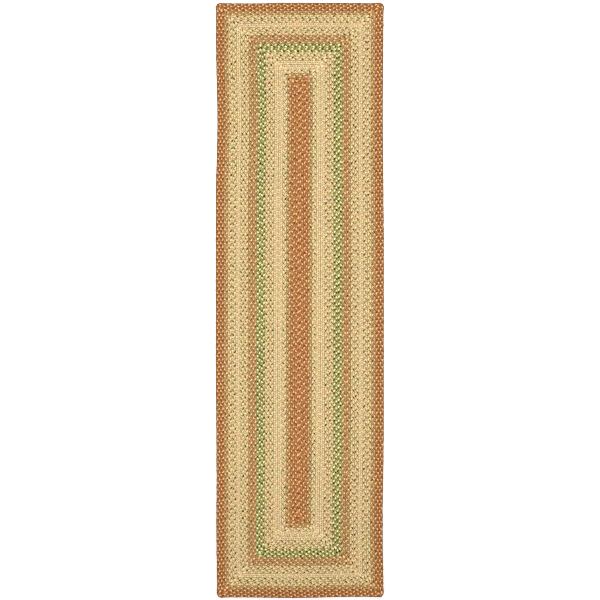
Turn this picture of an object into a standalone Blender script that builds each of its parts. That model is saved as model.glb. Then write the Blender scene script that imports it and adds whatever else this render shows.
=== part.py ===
"""A braided runner: twenty rounds of flat three-strand braid, laid round a middle seam and
laced edge to edge. Each round is one closed loop of braid, and one solid here, with a flat
face under it and a flat face on top. Metres, +Z up, the long side along Y, standing on Z = 0.
"""

from math import ceil, cos, floor, pi, radians, sin

import bmesh
import bpy

# The runner, as it lies.
RUG_LENGTH = 2.4384  # 8 ft, end to end
BRAID_THICKNESS = 0.008

# The braid is a little slacker in the inner rounds than in the outer ones.
SLACK_BRAID = 0.0175
FIRM_BRAID = 0.01675

# Rounds are laced together, and 0.3 mm is left between their solids.
LACING_GAP = 0.0003

# Every round turns its four corners on this radius, or on a smaller one where it has no room.
CORNER_RADIUS = 0.013

# The long sides swell a little at mid-length, and the middle seam lies off the middle and leans.
# The inner rounds are stretched towards the ends, where the corners lie a little short.
SIDE_SWELL = 0.001
SEAM_SHIFT = 0.0031
SEAM_LEAN = 0.004
END_STRETCH = 0.008
CORNER_SHORTFALL = 0.002

# Stretches where a long side was laced tighter and is drawn in.
DRAWN_IN = [
    # side  middle along Y  reach along Y  depth
    (-1,     0.73,          0.30,          0.0060),
    (-1,    -0.72,          0.45,          0.0023),
    (-1,    -1.25,          0.35,          0.0045),
    (1,      0.76,          0.55,          0.0038),
    (1,     -0.90,          0.35,          0.0040),
]

# The same at the two ends.
DRAWN_IN_ENDS = [
    # end  middle along X  reach along X  depth
    (1,    -0.20,          0.14,          0.0018),
    (-1,    0.23,          0.25,          0.0040),
    (-1,   -0.22,          0.22,          0.0015),
]

# Flats that one loop is made of: its straight runs bend where every other loop's do.
SIDE_STEP = 0.15
END_STEP = 0.1
CLEAR_OF_CORNER = 0.1  # share of a step within which a corner takes the place of a bend
FLATS_PER_CORNER = 3

# Corner points nearer than this are one point: the inner loops of the first round turn on
# their end's middle, where two corners meet.
SAME_POINT = 1e-6

ROUGHNESS = 0.95
SHARP_DEGREES = 35

# The bands of colour from the middle out: how many rounds, how wide the braid is, the colour.
BANDS = [
    # name              rounds  braid width   red    green  blue
    ("rust_middle",       2,    SLACK_BRAID,  0.527, 0.231, 0.087),
    ("rust_olive_line",   1,    SLACK_BRAID,  0.521, 0.319, 0.133),
    ("straw_line",        1,    SLACK_BRAID,  0.665, 0.497, 0.238),
    ("plain_straw",       2,    SLACK_BRAID,  0.768, 0.552, 0.283),
    ("olive_fleck",       2,    SLACK_BRAID,  0.638, 0.491, 0.231),
    ("green",             2,    SLACK_BRAID,  0.423, 0.376, 0.144),
    ("rust_straw",        2,    SLACK_BRAID,  0.515, 0.309, 0.133),
    ("olive_fleck_outer", 2,    FIRM_BRAID,   0.638, 0.468, 0.223),
    ("plain_straw_outer", 1,    FIRM_BRAID,   0.753, 0.552, 0.283),
    ("gold_fleck",        2,    FIRM_BRAID,   0.631, 0.462, 0.220),
    ("rust_olive_edge",   1,    FIRM_BRAID,   0.509, 0.305, 0.130),
    ("rust_edge",         2,    FIRM_BRAID,   0.474, 0.205, 0.080),
]

# The braid's section, going round it: across it from its own middle, and up from the floor.
SECTION = [
    # share of width, share of thickness
    (-0.33, 0.00),
    (0.33, 0.00),
    (0.50, 0.35),
    (0.50, 0.65),
    (0.33, 1.00),
    (-0.33, 1.00),
    (-0.50, 0.65),
    (-0.50, 0.35),
]

# Half the layout's width and half the middle seam. The outermost edge lies half a gap inside.
HALF_WIDTH = sum(rounds * width for _, rounds, width, *_ in BANDS)
SEAM_HALF_LENGTH = (RUG_LENGTH + LACING_GAP) / 2 - HALF_WIDTH


def clear_scene():
    for item in list(bpy.data.objects):
        bpy.data.objects.remove(item)


def braid_material(name, colour):
    material = bpy.data.materials.new(name)
    material.use_nodes = True
    shader = material.node_tree.nodes["Principled BSDF"]
    shader.inputs["Base Color"].default_value = (*colour, 1.0)
    shader.inputs["Roughness"].default_value = ROUGHNESS
    shader.inputs["Metallic"].default_value = 0.0
    return material


def settled(x, y):
    """Where a point of the plain layout ends up in the rug as it lies, uneven as it is."""
    across = x / HALF_WIDTH
    along = y / (RUG_LENGTH / 2)
    moved = SIDE_SWELL * across * (1 - along**2)
    moved += (SEAM_LEAN * along - SEAM_SHIFT) * (1 - across**2)
    for side, middle, reach, depth in DRAWN_IN:
        nearness = max(0.0, 1 - ((y - middle) / reach) ** 2) ** 2
        moved -= side * depth * nearness * (1 + side * across) / 2
    slid = END_STRETCH * along * (1 - along**2) - CORNER_SHORTFALL * along * across**2
    for end, middle, reach, depth in DRAWN_IN_ENDS:
        nearness = max(0.0, 1 - ((x - middle) / reach) ** 2) ** 2
        slid -= end * depth * nearness * (1 + end * along) / 2
    return x + moved, y + slid


def corner_middle(reach):
    """Middle of a corner's arc on the loop that lies reach metres out from the seam, and its radius."""
    radius = min(reach, CORNER_RADIUS)
    return reach - radius, SEAM_HALF_LENGTH + reach - radius, radius


def bends(start, end, step):
    """Where a straight run from start to end bends: at whole steps from the rug's middle."""
    first = ceil(min(start, end) / step + CLEAR_OF_CORNER)
    last = floor(max(start, end) / step - CLEAR_OF_CORNER)
    steps = [i * step for i in range(first, last + 1)]
    return steps if start < end else steps[::-1]


def loop_points(reach, middle):
    """One loop, reach metres out from the seam, anticlockwise from the right side's foot.

    It bends where the middle loop of its round does, so that all loops of a round match.
    """
    bend_x, bend_y, _ = corner_middle(middle)
    corner_x, corner_y, radius = corner_middle(reach)
    points = []
    for side in (1, -1):
        points += [(side * reach, y) for y in bends(-side * bend_y, side * bend_y, SIDE_STEP)]
        for corner in (0, 1):
            for i in range(FLATS_PER_CORNER + 1):
                angle = (corner + i / FLATS_PER_CORNER) * pi / 2
                x = (1 - 2 * corner) * corner_x + radius * cos(angle)
                y = corner_y + radius * sin(angle)
                points.append((side * x, side * y))
            if corner == 0:
                end = side * (SEAM_HALF_LENGTH + reach)
                points += [(x, end) for x in bends(side * bend_x, -side * bend_x, END_STEP)]
    return [settled(x, y) for x, y in points]


def round_mesh(name, inner, outer):
    """A closed ring of braid that fills the space from inner to outer, both measured from the seam."""
    middle = (inner + outer) / 2
    width = outer - inner
    mesh = bpy.data.meshes.new(name)
    form = bmesh.new()
    loops = []
    for across, up in SECTION:
        points = loop_points(middle + across * width, middle)
        height = up * BRAID_THICKNESS
        loops.append([form.verts.new((x, y, height)) for x, y in points])
    for i, loop in enumerate(loops):
        following = loops[(i + 1) % len(loops)]
        for j in range(len(loop)):
            k = (j + 1) % len(loop)
            form.faces.new((loop[j], loop[k], following[k], following[j]))
    bmesh.ops.remove_doubles(form, verts=form.verts, dist=SAME_POINT)
    bmesh.ops.recalc_face_normals(form, faces=form.faces)
    form.to_mesh(mesh)
    form.free()
    mesh.shade_smooth()
    mesh.set_sharp_from_angle(angle=radians(SHARP_DEGREES))
    return mesh


def lay_rounds():
    inner = 0.0
    number = 0
    for band, rounds, width, *colour in BANDS:
        material = braid_material(band, colour)
        for _ in range(rounds):
            number += 1
            name = f"round_{number:02d}"
            mesh = round_mesh(name, inner + LACING_GAP / 2, inner + width - LACING_GAP / 2)
            mesh.materials.append(material)
            bpy.context.collection.objects.link(bpy.data.objects.new(name, mesh))
            inner += width


clear_scene()
lay_rounds()
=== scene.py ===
from math import ceil, cos, pi, sin, sqrt

import bpy
import numpy as np
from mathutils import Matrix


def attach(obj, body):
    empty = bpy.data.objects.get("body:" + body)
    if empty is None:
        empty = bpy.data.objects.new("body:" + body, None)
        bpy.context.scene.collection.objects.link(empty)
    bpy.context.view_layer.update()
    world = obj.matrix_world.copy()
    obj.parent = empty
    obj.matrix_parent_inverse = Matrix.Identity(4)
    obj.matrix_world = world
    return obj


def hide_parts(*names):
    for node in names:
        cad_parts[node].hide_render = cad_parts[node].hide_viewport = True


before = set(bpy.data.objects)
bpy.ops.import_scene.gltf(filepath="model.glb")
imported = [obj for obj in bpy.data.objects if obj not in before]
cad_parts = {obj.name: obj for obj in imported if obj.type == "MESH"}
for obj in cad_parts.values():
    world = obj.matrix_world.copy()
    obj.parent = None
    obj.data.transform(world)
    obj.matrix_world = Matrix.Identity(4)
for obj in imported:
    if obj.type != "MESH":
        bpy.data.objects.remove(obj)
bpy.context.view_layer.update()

# ---------------------------------------------------------------------------------------------
# Rust middle, rounds 1 and 2. Two rounds of flat braid in rust with one peach strand; the first
# is bent into a hairpin at the middle seam. Each strand is a soft roll of matt yarns, three are
# plaited flat, and each round is closed into a loop and laced to the one inside it.

RUG_LENGTH = 2.4384  # 8 ft, end to end
SLACK_BRAID = 0.0175  # width of braid in the twelve inner rounds
FIRM_BRAID = 0.01675  # width of braid in the eight outer rounds
SLACK_ROUNDS = 12
FIRM_ROUNDS = 8
LACING_GAP = 0.0003
EDGE_TUCK = 0.0036  # the outermost braid leans on no other, and is drawn in by its lacing
HALF_WIDTH = SLACK_ROUNDS * SLACK_BRAID + FIRM_ROUNDS * FIRM_BRAID
SEAM_HALF_LENGTH = (RUG_LENGTH + LACING_GAP) / 2 - HALF_WIDTH

CORNER_RADIUS = 0.013
CORNER_EASING = 0.025  # length over which a braid widens before its corner
CORNER_PLUMPNESS = 1.4  # strands spread this much to fill a corner
SIDE_SWELL = 0.001
SEAM_SHIFT = 0.0031  # the middle seam lies this far off the middle
SEAM_LEAN = 0.004  # and leans this much further from its middle to its end
END_STRETCH = 0.008  # the inner rounds are stretched towards the ends
CORNER_SHORTFALL = 0.002  # how far the corners lie short of the middle of their end

# Stretches where a long side was laced tighter and is drawn in.
DRAWN_IN = [
    # side  middle along Y  reach along Y  depth
    (-1,     0.73,          0.30,          0.0060),
    (-1,    -0.72,          0.45,          0.0023),
    (-1,    -1.25,          0.35,          0.0045),
    (1,      0.76,          0.55,          0.0038),
    (1,     -0.90,          0.35,          0.0040),
]

# The same at the two ends.
DRAWN_IN_ENDS = [
    # end  middle along X  reach along X  depth
    (1,    -0.20,          0.14,          0.0018),
    (-1,    0.23,          0.25,          0.0040),
    (-1,   -0.22,          0.22,          0.0015),
]

STRANDS = 3
STATIONS = 8  # rings of points in one repeat of the plait
SIDES = 6  # points round a strand
STRAND_SHARE = 0.70  # half of a strand's width, as a share of half the braid's width
STRAND_HALF_HEIGHT = 0.0019
SLIP = 0.2  # how far the plait slips along its round, in repeats
NOISE_SPREAD = 4.0  # stretches noise to between -1 and 1 for the most part
STRAND_SEED_STEP = 7.3  # between the seeds of two strands, so that no two are uneven alike
ROUND_SEED_STEP = 11.0


def node(tree, kind, inputs=(), **settings):
    """Add a node; inputs pairs a socket's name or number with a value, or with a socket to link."""
    made = tree.nodes.new(kind)
    for name, value in settings.items():
        setattr(made, name, value)
    for socket, value in dict(inputs).items():
        if isinstance(value, bpy.types.NodeSocket):
            tree.links.new(value, made.inputs[socket])
        else:
            made.inputs[socket].default_value = value
    return made


def maths(tree, operation, *values):
    return node(tree, "ShaderNodeMath", enumerate(values), operation=operation).outputs[0]


def vector_maths(tree, operation, *values):
    return node(tree, "ShaderNodeVectorMath", enumerate(values), operation=operation).outputs[0]


def scaled(tree, vector, factor):
    """A vector drawn out or in by a factor."""
    return node(
        tree, "ShaderNodeVectorMath", {0: vector, "Scale": factor}, operation="SCALE"
    ).outputs[0]


def remembered(tree, name, kind="FLOAT"):
    """What a point keeps under a name."""
    return node(
        tree, "GeometryNodeInputNamedAttribute", {"Name": name}, data_type=kind
    ).outputs[0]


def remember(tree, geometry, name, value):
    """Have every point keep a value under a name."""
    return node(
        tree,
        "GeometryNodeStoreNamedAttribute",
        {"Geometry": geometry, "Name": name, "Value": value},
        data_type="FLOAT",
        domain="POINT",
    ).outputs[0]


def unevenness(tree, length, seed, detail=1.0):
    """Smooth noise, mostly between -1 and 1, that comes and goes over a length of the braid."""
    noise = node(
        tree,
        "ShaderNodeTexNoise",
        {
            "Vector": node(tree, "GeometryNodeInputPosition").outputs[0],
            "W": seed,
            "Scale": maths(tree, "DIVIDE", 1.0, length),
            "Detail": detail,
        },
        noise_dimensions="4D",
    ).outputs[0]
    return maths(tree, "MULTIPLY", maths(tree, "SUBTRACT", noise, 0.5), NOISE_SPREAD)


def plait_sockets():
    """A new tree for the plait, with its inputs by name, sizes in metres unless they are shares."""
    tree = bpy.data.node_groups.new("plait", "GeometryNodeTree")
    socket = tree.interface.new_socket
    socket("Guide", in_out="INPUT", socket_type="NodeSocketGeometry")
    for name, kind, default in [
        ("Repeats", "Int", 100),  # of the plait, in the whole round
        ("Swing", "Float", 0.60),  # how far a strand swings out, as a share of half the width
        ("Squareness", "Float", 0.10),  # how flat a strand's turns are, from 0
        ("Wander", "Float", 0.11),  # how far a strand strays sideways, as a share of the same
        ("Wander Length", "Float", 0.025),
        ("Height", "Float", 0.004),  # middle of the braid above the floor
        ("Rise", "Float", 0.0021),  # how far a strand goes over and under
        ("Turn Lift", "Float", 0.0012),  # it rides up where it turns, against the next round
        ("Strand Half Width", "Float", 0.004),
        ("Strand Half Height", "Float", STRAND_HALF_HEIGHT),
        ("Unevenness", "Float", 0.18),  # of a strand's thickness, as a share of it
        ("Uneven Length", "Float", 0.017),
        ("Lead", "Float", 0.0),  # repeats that the plait starts ahead of the guide's first point
        ("Slip", "Float", SLIP),
        ("Slip Length", "Float", 0.4),
        ("Seed", "Float", 0.0),
    ]:
        socket(name, in_out="INPUT", socket_type="NodeSocket" + kind).default_value = default
    for name in ("First Yarn", "Second Yarn", "Third Yarn"):
        socket(name, in_out="INPUT", socket_type="NodeSocketMaterial")
    socket("Braid", in_out="OUTPUT", socket_type="NodeSocketGeometry")
    return tree, node(tree, "NodeGroupInput").outputs


def place_on_guide(tree, given, turns, strand):
    """How far along the guide a strand's station is, from 0 to 1.

    All strands follow one wave, each put a third of a repeat further along than the last. The
    plait is drawn tighter here and slacker there, so it slips along the guide a little.
    """
    slack = unevenness(tree, given["Slip Length"], given["Seed"], detail=3.0)
    slip = maths(tree, "ADD", maths(tree, "MULTIPLY", slack, given["Slip"]), given["Lead"])
    ahead = maths(tree, "ADD", turns, maths(tree, "DIVIDE", strand, STRANDS))
    share = maths(tree, "DIVIDE", maths(tree, "ADD", ahead, slip), given["Repeats"])
    return maths(tree, "FLOORED_MODULO", share, 1.0)


def swing_and_height(tree, given, turns, seed):
    """How far out to its side a strand is, as a share of half the braid's width, and how high.

    It swings from edge to edge once a repeat, and goes over twice: each time inwards. The third
    harmonic flattens the turns, where neighbouring rounds press on each other.
    """
    angle = maths(tree, "MULTIPLY", turns, 2 * pi)
    third = maths(tree, "SINE", maths(tree, "MULTIPLY", angle, 3.0))
    wave = maths(tree, "MULTIPLY_ADD", third, given["Squareness"], maths(tree, "SINE", angle))
    wave = maths(tree, "DIVIDE", wave, maths(tree, "SUBTRACT", 1.0, given["Squareness"]))
    swing = maths(tree, "MULTIPLY", wave, given["Swing"])
    stray = unevenness(tree, given["Wander Length"], seed)
    swing = maths(tree, "ADD", swing, maths(tree, "MULTIPLY", stray, given["Wander"]))
    weave = maths(tree, "SINE", maths(tree, "MULTIPLY", angle, 2.0))
    under = maths(tree, "MULTIPLY", weave, given["Rise"])
    height = maths(tree, "SUBTRACT", given["Height"], under)
    turned_out = maths(tree, "MULTIPLY", wave, wave)
    return swing, maths(tree, "MULTIPLY_ADD", turned_out, given["Turn Lift"], height)


def strand_section(tree, given):
    """The flattened outline of a strand, where every point knows how far round it is."""
    circle = node(tree, "GeometryNodeCurvePrimitiveCircle", {"Resolution": SIDES, "Radius": 1.0})
    turned = node(
        tree,
        "GeometryNodeTransform",
        {"Geometry": circle.outputs[0], "Rotation": (0.0, 0.0, pi / SIDES)},
    )
    flatness = node(
        tree,
        "ShaderNodeCombineXYZ",
        {"X": given["Strand Half Width"], "Y": given["Strand Half Height"], "Z": 1.0},
    )
    section = node(
        tree,
        "GeometryNodeTransform",
        {"Geometry": turned.outputs[0], "Scale": flatness.outputs[0]},
    )
    way_round = node(tree, "GeometryNodeSplineParameter").outputs["Factor"]
    return remember(tree, section.outputs[0], "round", way_round)


def pressed_flat(tree, given, tubes):
    """Floor and foot press the braid flat: no point is lower or higher than the braid's faces."""
    place = node(tree, "GeometryNodeInputPosition").outputs[0]
    axes = node(tree, "ShaderNodeSeparateXYZ", {0: place}).outputs
    top = maths(tree, "MULTIPLY", given["Height"], 2.0)
    height = node(tree, "ShaderNodeClamp", {"Value": axes["Z"], "Min": 0.0, "Max": top}).outputs[0]
    flat = node(
        tree, "ShaderNodeCombineXYZ", {"X": axes["X"], "Y": axes["Y"], "Z": height}
    ).outputs[0]
    return node(tree, "GeometryNodeSetPosition", {"Geometry": tubes, "Position": flat}).outputs[0]


def plait_tree():
    """Geometry Nodes that plait three strands along a closed guide line."""
    tree, given = plait_sockets()

    # The guide becomes a curve with a fixed number of stations, once for each strand.
    curve = node(tree, "GeometryNodeMeshToCurve", {"Mesh": given["Guide"]}).outputs[0]
    count = maths(tree, "MULTIPLY", given["Repeats"], STATIONS)
    stations = node(tree, "GeometryNodeResampleCurve", {"Curve": curve, "Count": count})
    strands = node(
        tree,
        "GeometryNodeDuplicateElements",
        {"Geometry": stations.outputs[0], "Amount": STRANDS},
        domain="SPLINE",
    )
    strand = strands.outputs["Duplicate Index"]
    spline = node(tree, "GeometryNodeSplineParameter").outputs
    turns = maths(tree, "DIVIDE", spline["Index"], STATIONS)
    seed = maths(tree, "MULTIPLY_ADD", strand, STRAND_SEED_STEP, given["Seed"])
    factor = place_on_guide(tree, given, turns, strand)

    def of_guide(name, kind):
        """The guide's place at this strand's station, and what the guide keeps there."""
        return node(
            tree,
            "GeometryNodeSampleCurve",
            {"Curves": curve, "Value": remembered(tree, name, kind), "Factor": factor},
            data_type=kind,
            mode="FACTOR",
        ).outputs

    # Every station is moved to its place in the plait, and its frame is kept upright.
    half = of_guide("half", "FLOAT_VECTOR")
    plumpness = of_guide("plumpness", "FLOAT")["Value"]
    swing, height = swing_and_height(tree, given, turns, seed)
    lift = node(tree, "ShaderNodeCombineXYZ", {"Z": height}).outputs[0]
    offset = vector_maths(tree, "ADD", scaled(tree, half["Value"], swing), lift)
    placed = node(
        tree,
        "GeometryNodeSetPosition",
        {"Geometry": strands.outputs[0], "Position": half["Position"], "Offset": offset},
    )
    upright = node(
        tree, "GeometryNodeSetCurveNormal", {"Curve": placed.outputs[0]}, mode="Z_UP"
    )

    # Every point remembers its strand, its station and how far along the strand it is.
    paths = remember(tree, upright.outputs[0], "strand", strand)
    paths = remember(tree, paths, "station", spline["Index"])
    paths = remember(tree, paths, "along", spline["Length"])
    thickness = maths(
        tree,
        "MULTIPLY_ADD",
        unevenness(tree, given["Uneven Length"], seed),
        given["Unevenness"],
        1.0,
    )
    tubes = node(
        tree,
        "GeometryNodeCurveToMesh",
        {
            "Curve": paths,
            "Profile Curve": strand_section(tree, given),
            "Scale": maths(tree, "MULTIPLY", thickness, plumpness),
        },
    ).outputs[0]
    braid = pressed_flat(tree, given, tubes)
    braid = node(tree, "GeometryNodeRealizeInstances", {"Geometry": braid}).outputs[0]
    for number, name in enumerate(("First Yarn", "Second Yarn", "Third Yarn")):
        chosen = maths(tree, "COMPARE", remembered(tree, "strand"), float(number), 0.5)
        braid = node(
            tree,
            "GeometryNodeSetMaterial",
            {"Geometry": braid, "Selection": chosen, "Material": given[name]},
        ).outputs[0]
    node(tree, "NodeGroupOutput", {"Braid": braid})
    return tree


PLAIT = plait_tree()
PLAIT_INPUTS = {
    item.name: item.identifier
    for item in PLAIT.interface.items_tree
    if item.item_type == "SOCKET" and item.in_out == "INPUT"
}

# Points of the guide lines: closer together where a run widens before a corner, and round it.
EASING_POINTS = 9
RUN_POINTS = 49
RUN_MARGIN = 0.02  # share of a plain run that is left free at both its ends
CORNER_STEPS = 12
SAME_POINT = 1e-5  # points nearer than this are one point


def settled(x, y):
    """Where a point of the plain layout ends up in the rug as it lies, uneven as it is."""
    across = x / HALF_WIDTH
    along = y / (RUG_LENGTH / 2)
    moved = SIDE_SWELL * across * (1 - along**2)
    moved += (SEAM_LEAN * along - SEAM_SHIFT) * (1 - across**2)
    for side, middle, reach, depth in DRAWN_IN:
        nearness = max(0.0, 1 - ((y - middle) / reach) ** 2) ** 2
        moved -= side * depth * nearness * (1 + side * across) / 2
    slid = END_STRETCH * along * (1 - along**2) - CORNER_SHORTFALL * along * across**2
    for end, middle, reach, depth in DRAWN_IN_ENDS:
        nearness = max(0.0, 1 - ((x - middle) / reach) ** 2) ** 2
        slid -= end * depth * nearness * (1 + end * along) / 2
    return x + moved, y + slid


def corner_of(reach):
    """Middle of a corner's arc, out from the layout's middle, and its radius."""
    radius = min(reach, CORNER_RADIUS)
    return reach - radius, SEAM_HALF_LENGTH + reach - radius, radius


def straight_run(inner_from, inner_to, outer_from, outer_to):
    """How far along a straight run its inner and its outer edge are, and its plumpness there.

    The strands spread towards the corners at its ends, where the outer edge reaches further.
    """
    middle_from = (inner_from + outer_from) / 2
    middle_to = (inner_to + outer_to) / 2
    length = abs(middle_to - middle_from)
    easing = min(CORNER_EASING, length / 2)
    shares = np.linspace(0.0, 1.0, EASING_POINTS)
    plain_shares = np.linspace(RUN_MARGIN, 1 - RUN_MARGIN, RUN_POINTS)
    steps = [easing * share for share in shares]
    steps += [easing + (length - 2 * easing) * share for share in plain_shares]
    steps += [length - easing * share for share in shares[::-1]]
    way = 1 if middle_to > middle_from else -1
    lean_from = (outer_from - inner_from) / 2
    lean_to = (outer_to - inner_to) / 2
    run = []
    for step in steps:
        near_start = max(0.0, 1 - step / easing)
        near_end = max(0.0, 1 - (length - step) / easing)
        lean = lean_from * near_start**2 + lean_to * near_end**2
        middle = middle_from + way * step
        plumpness = 1 + (CORNER_PLUMPNESS - 1) * max(near_start, near_end) ** 2
        run.append((middle - lean, middle + lean, plumpness))
    return run


def corner_run(inner, outer, quarter):
    """Points of the inner and the outer edge round a far corner, and its plumpness.

    The right corner is quarter 0 and the left one is quarter 1.
    """
    way = 1 - 2 * quarter
    run = []
    for i in range(1, CORNER_STEPS):
        angle = (quarter + i / CORNER_STEPS) * pi / 2
        edges = [
            (way * x + radius * cos(angle), y + radius * sin(angle))
            for x, y, radius in (corner_of(inner), corner_of(outer))
        ]
        run.append((*edges, CORNER_PLUMPNESS))
    return run


def half_loop(inner, outer):
    """Points of both edges of half a round, from the right side's foot on, and its plumpness."""
    inner_x, inner_y, _ = corner_of(inner)
    outer_x, outer_y, _ = corner_of(outer)
    inner_end = SEAM_HALF_LENGTH + inner
    outer_end = SEAM_HALF_LENGTH + outer
    side = straight_run(-inner_y, inner_y, -outer_y, outer_y)
    end = straight_run(inner_x, -inner_x, outer_x, -outer_x)
    loop = [((inner, a), (outer, b), plumpness) for a, b, plumpness in side]
    loop += corner_run(inner, outer, 0)
    loop += [((a, inner_end), (b, outer_end), plumpness) for a, b, plumpness in end]
    loop += corner_run(inner, outer, 1)
    return loop


def steps_round(points):
    """How far every point of a closed line is from the one before it."""
    return np.linalg.norm(points - np.roll(points, 1, axis=0), axis=1)


def guide_line(name, inner, outer):
    """A closed line down the middle of a round, which knows half the braid's width and plumpness.

    The round's other half is this one turned about the layout's middle.
    """
    half = half_loop(inner, outer)
    whole = half + [((-ax, -ay), (-bx, -by), plump) for (ax, ay), (bx, by), plump in half]
    edges = np.array([[settled(*a), settled(*b)] for a, b, _ in whole])
    plumpness = np.array([plump for _, _, plump in whole])
    middles = edges.mean(axis=1)
    apart = steps_round(middles) > SAME_POINT
    edges, middles, plumpness = edges[apart], middles[apart], plumpness[apart]
    count = len(middles)
    mesh = bpy.data.meshes.new(name)
    mesh.from_pydata(
        [(x, y, 0.0) for x, y in middles], [(i, (i + 1) % count) for i in range(count)], []
    )
    halves = np.zeros((count, 3), dtype=np.float32)
    halves[:, :2] = (edges[:, 1] - edges[:, 0]) / 2
    mesh.attributes.new("half", "FLOAT_VECTOR", "POINT").data.foreach_set("vector", halves.ravel())
    mesh.attributes.new("plumpness", "FLOAT", "POINT").data.foreach_set(
        "value", plumpness.astype(np.float32)
    )
    return bpy.data.objects.new(name, mesh), steps_round(middles).sum()


# The two maps of a braid. On the yarn map each strand starts somewhere else, so that no two
# have their flecks in the same places; on the map for baking they are cut up and packed.
STRAND_START = 7.7
ROUND_START = 3.7
RIBBON_HEIGHT = 0.021  # one strand unrolled, with its margin
RIBBON_MARGIN = 0.04  # share of a ribbon left free above and below
MAP_MARGIN = 0.001  # share of the map left free left and right


def map_strands(mesh, number, stations):
    """Lay two maps on a round, and return how long its strands are.

    On the map yarn, across is the way round a strand, from 0 to 1, and up is the way along it,
    in metres. OFBake is the map for baking.
    """
    corners = np.empty(len(mesh.loops), dtype=np.int32)
    mesh.loops.foreach_get("vertex_index", corners)

    def read(name):
        values = np.empty(len(mesh.vertices), dtype=np.float32)
        mesh.attributes[name].data.foreach_get("value", values)
        return values[corners].reshape(-1, 4).astype(float)

    def close(values, whole):
        """Carry the last ring's far edge on past the whole instead of back to nought."""
        highest = values.max(axis=1, keepdims=True)
        return values + whole * (highest - values > whole / 2)

    strand = read("strand")
    turn = close(read("round"), 1.0)
    along = read("along")
    step = along.max() / (stations - 1)
    along = close(along, along.max() + step)
    station = close(read("station"), stations)
    start = STRAND_START * strand + ROUND_START * number
    yarn_map = np.stack([turn, along + start], axis=-1).astype(np.float32)
    mesh.uv_layers.new(name="yarn").data.foreach_set("uv", yarn_map.ravel())

    # The strands are cut into rows of equal length, so that the map comes out about square.
    row = round(sqrt(STRANDS * stations * RIBBON_HEIGHT / step))
    rows = ceil(STRANDS * stations / row)
    first = station.min(axis=1, keepdims=True)
    running = np.rint(strand * stations + first).astype(int)
    bake_u = (running % row + station - first) / row
    bake_v = (running // row + RIBBON_MARGIN + (1 - 2 * RIBBON_MARGIN) * turn) / rows
    bake_map = np.stack([MAP_MARGIN + (1 - 2 * MAP_MARGIN) * bake_u, bake_v], axis=-1)
    mesh.uv_layers.new(name="OFBake").data.foreach_set("uv", bake_map.astype(np.float32).ravel())
    mesh.uv_layers["yarn"].active = True
    mesh.uv_layers["yarn"].active_render = True
    for name in ("strand", "round", "station", "along", "half", "plumpness"):
        if name in mesh.attributes:
            mesh.attributes.remove(mesh.attributes[name])
    return along.max()


# How the yarns of a strand are laid up. What comes by the metre is along the strand.
YARNS_IN_STRAND = 12
YARN_TURN = 9.0  # yarns that a line along the strand crosses in a metre
PLY_TURNS = 420.0  # in a metre
PLY_STAGGER = 0.9  # turns between the ply of one yarn and its neighbour's
FIBRES_ROUND = 60.0  # round the strand
FIBRES_ALONG = 500.0  # in a metre

# Which of its two tints a strand shows: the sum is the share of the tint on its sides.
OWN_TINT = 0.35  # up to this much by each yarn on its own
DYE_DRIFT = 2.4  # about half of this by the dye's drift along the strand
DYE_CHANGES = 40.0  # of the drift, in a metre
CROWN_TINT = 0.2  # less this much everywhere
CROWN_FROM = 0.55  # how upright the surface is where the crown's own tint begins to show

# How light or dark the colour is, as a share of the dye's: painted shade and light, fibres and dye
# patches.
PAINTED_GROOVE_SHADE = 0.80  # painted shade in the groove between two yarns
PAINTED_RIDGE_LIGHT = 0.22  # painted light: this much more on the ridge of a yarn
FIBRE_SHADE = 0.85  # between fibres
FIBRE_LIGHT = 0.30  # more on a fibre
PAINTED_SIDE_SHADE = 0.5  # painted shade down a strand's sides, in the creases between strands and on the rug's outer edge
SIDE_SHADE_FROM = 0.2  # how upright the surface is where this painted shade begins to lift
SIDE_SHADE_TO = 0.8  # and where it has gone
PATCHINESS = 0.2  # how far the dyes are apart between one patch and the next
PATCHES = 28.0  # in a metre of rug

# Relief, as a share of a yarn's ridge.
PLY_RELIEF = 0.25
FIBRE_RELIEF = 0.2
RIDGE_HEIGHT = 0.0005
RIDGE_STRENGTH = 0.7

# A Mix node's sockets for colours share their names with others, and go by number.
MIX_FIRST = 6
MIX_SECOND = 7
MIX_RESULT = 2


def ridged(tree, value):
    """One rounded ridge after another, a whole number wide: nought in the grooves, one on top."""
    return maths(tree, "ABSOLUTE", maths(tree, "SINE", maths(tree, "MULTIPLY", value, pi)))


def rising(tree, value, start, end, lowest):
    """A smooth rise from lowest to one while the value goes from start to end."""
    return node(
        tree,
        "ShaderNodeMapRange",
        {"Value": value, "From Min": start, "From Max": end, "To Min": lowest},
        interpolation_type="SMOOTHSTEP",
    ).outputs[0]


def dyed(red, green, blue):
    """A yarn's colour as the shader takes it, from how it reads through a screen's curve."""
    return (*[((c / 255 + 0.055) / 1.055) ** 2.4 for c in (red, green, blue)], 1.0)


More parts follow.
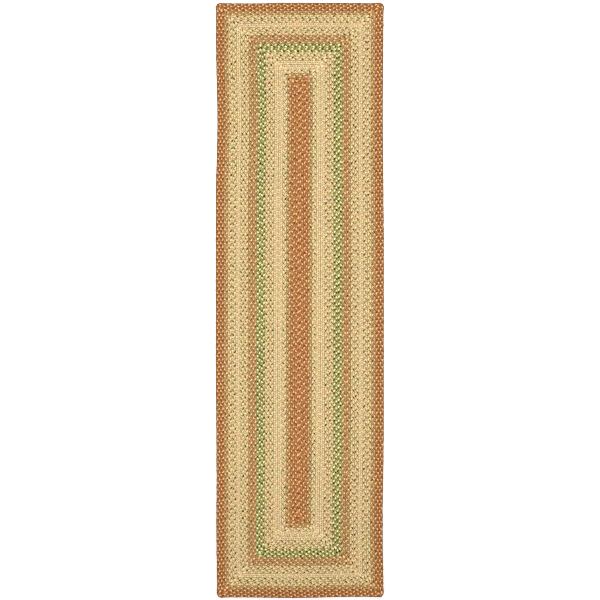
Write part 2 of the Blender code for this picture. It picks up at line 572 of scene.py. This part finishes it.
def tint_of(tree, lane, along, upright, crown, sides):
    """A strand's colour, more of one tint on its crown and more of the other down its sides.

    Each yarn has its own mix of the two, and the dye comes and goes along the strand. So one
    fleck is long and dark, and the next one is faint.
    """
    lane_number = maths(tree, "FLOORED_MODULO", maths(tree, "FLOOR", lane), float(YARNS_IN_STRAND))
    own = node(
        tree, "ShaderNodeTexWhiteNoise", {"W": lane_number}, noise_dimensions="1D"
    ).outputs["Value"]
    place = node(tree, "ShaderNodeCombineXYZ", {"Y": along}).outputs[0]
    drift = node(
        tree, "ShaderNodeTexNoise", {"Vector": place, "Scale": DYE_CHANGES, "Detail": 3.0}
    ).outputs[0]
    drift = maths(tree, "MULTIPLY", drift, DYE_DRIFT)
    share = maths(tree, "MULTIPLY_ADD", own, OWN_TINT, drift)
    share = maths(tree, "SUBTRACT", share, CROWN_TINT)
    share = maths(tree, "SUBTRACT", share, rising(tree, upright, CROWN_FROM, 1.0, 0.0))
    return node(
        tree,
        "ShaderNodeMix",
        {"Factor": share, MIX_FIRST: dyed(*crown), MIX_SECOND: dyed(*sides)},
        data_type="RGBA",
    ).outputs[MIX_RESULT]


def patched(tree, tint):
    """All dyes came out a little uneven, in soft patches that run across neighbouring strands."""
    place = node(tree, "ShaderNodeTexCoord").outputs["Object"]
    patches = node(
        tree, "ShaderNodeTexNoise", {"Vector": place, "Scale": PATCHES, "Detail": 2.0}
    ).outputs["Color"]
    spread = (PATCHINESS,) * 3
    least = (1 - PATCHINESS / 2,) * 3
    uneven = vector_maths(tree, "MULTIPLY_ADD", patches, spread, least)
    return vector_maths(tree, "MULTIPLY", tint, uneven)


def yarn(name, crown, sides):
    """Matt yarns laid up in a roll, each plied: one tint on its crown, another down its sides."""
    material = bpy.data.materials.new("yarn_" + name)
    material.use_nodes = True
    tree = material.node_tree
    shader = tree.nodes["Principled BSDF"]
    laid_out = node(tree, "ShaderNodeUVMap", uv_map="yarn").outputs[0]
    split = node(tree, "ShaderNodeSeparateXYZ", {0: laid_out}).outputs
    turn, along = split["X"], split["Y"]

    # Yarns run along the strand with a slow turn; each is a rounded ridge with a plied surface.
    slow_turn = maths(tree, "MULTIPLY", along, YARN_TURN)
    lane = maths(tree, "MULTIPLY_ADD", turn, float(YARNS_IN_STRAND), slow_turn)
    ridge = ridged(tree, lane)
    stagger = maths(tree, "MULTIPLY", lane, PLY_STAGGER)
    ply = ridged(tree, maths(tree, "MULTIPLY_ADD", along, PLY_TURNS, stagger))
    fibre_x = maths(tree, "MULTIPLY", turn, FIBRES_ROUND)
    fibre_y = maths(tree, "MULTIPLY", along, FIBRES_ALONG)
    fibres = node(tree, "ShaderNodeCombineXYZ", {"X": fibre_x, "Y": fibre_y}).outputs[0]
    fibre = node(
        tree, "ShaderNodeTexNoise", {"Vector": fibres, "Scale": 1.0, "Detail": 2.0}
    ).outputs[0]

    # How near a point is to the strand's crown, above or below, and not to its sides.
    around = maths(tree, "MULTIPLY_ADD", turn, 2 * pi, pi / SIDES)
    upright = maths(tree, "ABSOLUTE", maths(tree, "SINE", around))

    tint = tint_of(tree, lane, along, upright, crown, sides)
    # Painted shade in the grooves between yarns and painted light on their ridges, in step with the
    # bump.
    shade = maths(tree, "MULTIPLY_ADD", ridge, PAINTED_RIDGE_LIGHT, PAINTED_GROOVE_SHADE)
    fibre_shade = maths(tree, "MULTIPLY_ADD", fibre, FIBRE_LIGHT, FIBRE_SHADE)
    shade = maths(tree, "MULTIPLY", shade, fibre_shade)
    # Painted shade: the colour darkens down a strand's sides, into the creases and over the rug's
    # outer edge.
    painted_side_shade = rising(tree, upright, SIDE_SHADE_FROM, SIDE_SHADE_TO, PAINTED_SIDE_SHADE)
    shade = maths(tree, "MULTIPLY", shade, painted_side_shade)
    tree.links.new(scaled(tree, patched(tree, tint), shade), shader.inputs["Base Color"])

    relief = maths(tree, "MULTIPLY_ADD", fibre, FIBRE_RELIEF, ridge)
    relief = maths(tree, "MULTIPLY_ADD", ply, PLY_RELIEF, relief)
    bump = node(
        tree,
        "ShaderNodeBump",
        {"Height": relief, "Strength": RIDGE_STRENGTH, "Distance": RIDGE_HEIGHT},
    ).outputs[0]
    tree.links.new(bump, shader.inputs["Normal"])
    shader.inputs["Roughness"].default_value = 0.92
    shader.inputs["Specular IOR Level"].default_value = 0.1
    return material


def plaited(guide, inputs):
    """The mesh that the plait makes along a guide line, which is then taken away."""
    bpy.context.collection.objects.link(guide)
    modifier = guide.modifiers.new("plait", "NODES")
    modifier.node_group = PLAIT
    for socket, value in inputs.items():
        modifier[PLAIT_INPUTS[socket]] = value
    evaluated = guide.evaluated_get(bpy.context.evaluated_depsgraph_get())
    mesh = bpy.data.meshes.new_from_object(evaluated)
    guide.modifiers.remove(modifier)
    bpy.data.objects.remove(guide)
    return mesh


def lay_round(number, inner, width, repeat, yarns, phase, slip):
    """Plait one round between its two edges, and put it in the place of its solid.

    Its phase is how far on the plait is at the middle of the right side, in repeats.
    """
    name = f"braid_{number:02d}"
    tuck = EDGE_TUCK if number == SLACK_ROUNDS + FIRM_ROUNDS else 0.0
    guide, length = guide_line(name, inner + LACING_GAP / 2, inner + width - LACING_GAP / 2 - tuck)
    repeats = round(length / repeat)
    to_middle = SEAM_HALF_LENGTH + inner + width / 2 - CORNER_RADIUS
    strand_half_width = (width - LACING_GAP) / 2 * STRAND_SHARE
    mesh = plaited(guide, {
        "Repeats": repeats,
        "Strand Half Width": strand_half_width,
        "Seed": ROUND_SEED_STEP * number,
        "Lead": to_middle / length * repeats - phase,
        "Slip": slip,
        "First Yarn": yarns[0],
        "Second Yarn": yarns[1],
        "Third Yarn": yarns[2],
    })
    mesh.name = name
    strand_length = map_strands(mesh, number, repeats * STATIONS)
    mesh.shade_smooth()
    braid = bpy.data.objects.new(name, mesh)
    bpy.context.collection.objects.link(braid)
    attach(braid, "root")
    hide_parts(f"round_{number:02d}")


# How many rounds are laid, and how far out from the seam they reach.
laid = {"rounds": 0, "reach": 0.0}


def lay_band(rounds, width, repeat, yarns, step=0.5, slip=SLIP):
    """Lay a band of like rounds, each a step of the plait further on than the one inside it.

    At no step neighbours swing side by side, and their turns fall beside each other's gaps; at a
    step of half a repeat they mirror each other. Both are for the middle of the right side.
    """
    for i in range(rounds):
        laid["rounds"] += 1
        lay_round(laid["rounds"], laid["reach"], width, repeat, yarns, i * step, slip)
        laid["reach"] += width


PEACH = yarn("peach", crown=(253, 203, 152), sides=(198, 127, 74))
RUST = yarn("rust", crown=(130, 68, 6), sides=(202, 143, 88))
SOFT_RUST = yarn("soft_rust", crown=(189, 126, 72), sides=(189, 128, 75))
lay_band(2, SLACK_BRAID, repeat=0.0292, yarns=(PEACH, RUST, SOFT_RUST))

# ---------------------------------------------------------------------------------------------
# Rust and olive line, round 3. One round of flat braid that frames the rust middle, plaited of
# a sandy, a brown-olive and a rust strand of matt yarns, closed into a loop and laced on.

SANDY = yarn("sandy", crown=(252, 210, 156), sides=(196, 152, 98))
RUSTY = yarn("rusty", crown=(116, 70, 10), sides=(215, 172, 114))
BROWN_OLIVE = yarn("brown_olive", crown=(174, 131, 73), sides=(201, 158, 108))
lay_band(1, SLACK_BRAID, repeat=0.0275, yarns=(SANDY, BROWN_OLIVE, RUSTY))

# ---------------------------------------------------------------------------------------------
# Straw line, round 4. One round of flat braid in cream and straw yarns, with a third strand
# that is dyed dark olive here and there and shows as flecks. It is laced to round 3.

CREAM = yarn("cream", crown=(250, 225, 173), sides=(232, 203, 151))
STRAW = yarn("straw", crown=(222, 192, 138), sides=(217, 188, 136))
DARK_OLIVE = yarn("dark_olive", crown=(84, 64, 10), sides=(255, 228, 160))
lay_band(1, SLACK_BRAID, repeat=0.0274, yarns=(CREAM, STRAW, DARK_OLIVE))

# ---------------------------------------------------------------------------------------------
# Plain straw, rounds 5 and 6. Two rounds of flat braid in cream, pale straw and straw yarns,
# with no dark strand among them. Both are closed into loops and laced edge to edge.

PALE_STRAW = yarn("pale_straw", crown=(237, 206, 154), sides=(232, 199, 148))
lay_band(2, SLACK_BRAID, repeat=0.0297, yarns=(CREAM, PALE_STRAW, STRAW))

# ---------------------------------------------------------------------------------------------
# Olive fleck, rounds 7 and 8. Two rounds of flat braid in cream and straw yarns, with a third
# strand that is dyed olive here and there. They are laced on like the rounds inside them.

OLIVE = yarn("olive", crown=(84, 66, 12), sides=(246, 212, 143))
lay_band(2, SLACK_BRAID, repeat=0.0275, yarns=(CREAM, STRAW, OLIVE))

# ---------------------------------------------------------------------------------------------
# Green, rounds 9 and 10. Two rounds of flat braid, plaited of a cream, a mid green and a dark
# green strand of matt yarns. The outer one's plait is a little further on than the inner one's,
# and the two are laced edge to edge.

PALE_GREEN = yarn("pale_green", crown=(253, 246, 190), sides=(204, 190, 128))
GREEN = yarn("green", crown=(128, 118, 42), sides=(210, 201, 138))
DARK_GREEN = yarn("dark_green", crown=(54, 52, 4), sides=(172, 161, 80))
GREEN_YARNS = (PALE_GREEN, GREEN, DARK_GREEN)
lay_band(2, SLACK_BRAID, repeat=0.0283, yarns=GREEN_YARNS, step=0.3)

# ---------------------------------------------------------------------------------------------
# Rust and straw, rounds 11 and 12. Two rounds of flat braid in the yarns of round 3, in another
# order. They are the last of the slacker, wider braid, and are laced round the green.

lay_band(2, SLACK_BRAID, repeat=0.0286, yarns=(SANDY, RUSTY, BROWN_OLIVE))

# ---------------------------------------------------------------------------------------------
# Outer olive fleck, rounds 13 and 14. Two rounds of flat braid in the yarns of rounds 7 and 8,
# plaited firmer and so narrower. They are closed into loops and laced edge to edge.

lay_band(2, FIRM_BRAID, repeat=0.0283, yarns=(CREAM, STRAW, OLIVE))

# ---------------------------------------------------------------------------------------------
# Outer plain straw, round 15. One round of flat braid in the yarns of rounds 5 and 6, plaited
# firmer across and with longer turns. It is closed into a loop and laced on.

lay_band(1, FIRM_BRAID, repeat=0.0306, yarns=(CREAM, PALE_STRAW, STRAW))

# ---------------------------------------------------------------------------------------------
# Gold fleck, rounds 16 and 17. Two rounds of flat braid in cream and straw yarns, with a third
# strand that is dyed gold and olive here and there. Both are laced on edge to edge.

GOLD_OLIVE = yarn("gold_olive", crown=(88, 66, 10), sides=(246, 210, 141))
lay_band(2, FIRM_BRAID, repeat=0.0284, yarns=(CREAM, STRAW, GOLD_OLIVE))

# ---------------------------------------------------------------------------------------------
# Rust and olive edge, round 18. One round of flat braid in the yarns of rounds 11 and 12, in
# the same order. It is closed into a loop and laced on inside the rust edge.

lay_band(1, FIRM_BRAID, repeat=0.0287, yarns=(SANDY, RUSTY, BROWN_OLIVE))

# ---------------------------------------------------------------------------------------------
# Rust edge, rounds 19 and 20. The rug's rim is two rounds of flat braid in peach, deep rust and
# russet yarns. Their plaits run level with hardly any slip, so the peach turns are staggered,
# and the lacing draws the outer one in.

DEEP_RUST = yarn("deep_rust", crown=(134, 76, 22), sides=(174, 118, 62))
RUSSET = yarn("russet", crown=(180, 122, 74), sides=(182, 126, 78))
RIM_YARNS = (PEACH, DEEP_RUST, RUSSET)
lay_band(2, FIRM_BRAID, repeat=0.02875, yarns=RIM_YARNS, step=0.0, slip=0.06)

# ---------------------------------------------------------------------------------------------
# Floor, light and camera. The rug lies loose on a plain pale floor, painted matt, and nothing
# holds it down. The picture is taken from straight above with a long lens, in soft light.

FLOOR_SIZE = 60.0
FLOOR_SHADE = 0.95
PHOTO_WIDTH = 2.4568  # metres of floor across the picture
OFF_MIDDLE = (0.0005, 0.0018)  # the rug lies this far off the middle of the picture
LENS = 200.0
SENSOR = 36.0
FARTHEST = 100.0  # what is further from the camera is left out of the picture

half_floor = FLOOR_SIZE / 2
floor_mesh = bpy.data.meshes.new("floor")
floor_mesh.from_pydata(
    [
        (-half_floor, -half_floor, 0.0),
        (half_floor, -half_floor, 0.0),
        (half_floor, half_floor, 0.0),
        (-half_floor, half_floor, 0.0),
    ],
    [],
    [(0, 1, 2, 3)],
)
floor = bpy.data.objects.new("floor", floor_mesh)
bpy.context.collection.objects.link(floor)
paint = bpy.data.materials.new("pale_floor")
paint.use_nodes = True
surface = paint.node_tree.nodes["Principled BSDF"]
surface.inputs["Base Color"].default_value = (FLOOR_SHADE, FLOOR_SHADE, FLOOR_SHADE, 1.0)
surface.inputs["Roughness"].default_value = 0.9
surface.inputs["Specular IOR Level"].default_value = 0.1
floor_mesh.materials.append(paint)

world = bpy.data.worlds.new("studio")
bpy.context.scene.world = world
world.use_nodes = True
world.node_tree.nodes["Background"].inputs["Color"].default_value = (1.0, 1.0, 1.0, 1.0)
world.node_tree.nodes["Background"].inputs["Strength"].default_value = 0.6

# The spotlight's soft edge falls on the near end, which is a little darker and warmer.
lamp = bpy.data.lights.new("spotlight", "SPOT")
lamp.energy = 75.0
lamp.color = (0.8, 0.9, 1.0)
lamp.spot_size = 0.98
lamp.spot_blend = 0.45
lamp.shadow_soft_size = 0.4
spotlight = bpy.data.objects.new("spotlight", lamp)
spotlight.location = (0.0, 0.45, 3.0)
bpy.context.collection.objects.link(spotlight)

# A broad light straight above gives the rest, so that the floor beside the rug stays pale.
sun = bpy.data.lights.new("overhead", "SUN")
sun.energy = 1.57
sun.angle = 0.6
overhead = bpy.data.objects.new("overhead", sun)
bpy.context.collection.objects.link(overhead)

camera_data = bpy.data.cameras.new("camera")
camera_data.lens = LENS
camera_data.sensor_width = SENSOR
camera_data.clip_end = FARTHEST
camera = bpy.data.objects.new("camera", camera_data)
camera.location = (*OFF_MIDDLE, PHOTO_WIDTH * LENS / SENSOR)
bpy.context.collection.objects.link(camera)
bpy.context.scene.camera = camera
bpy.context.scene.view_settings.view_transform = "Standard"
bpy.context.scene.cycles.filter_width = 1.0
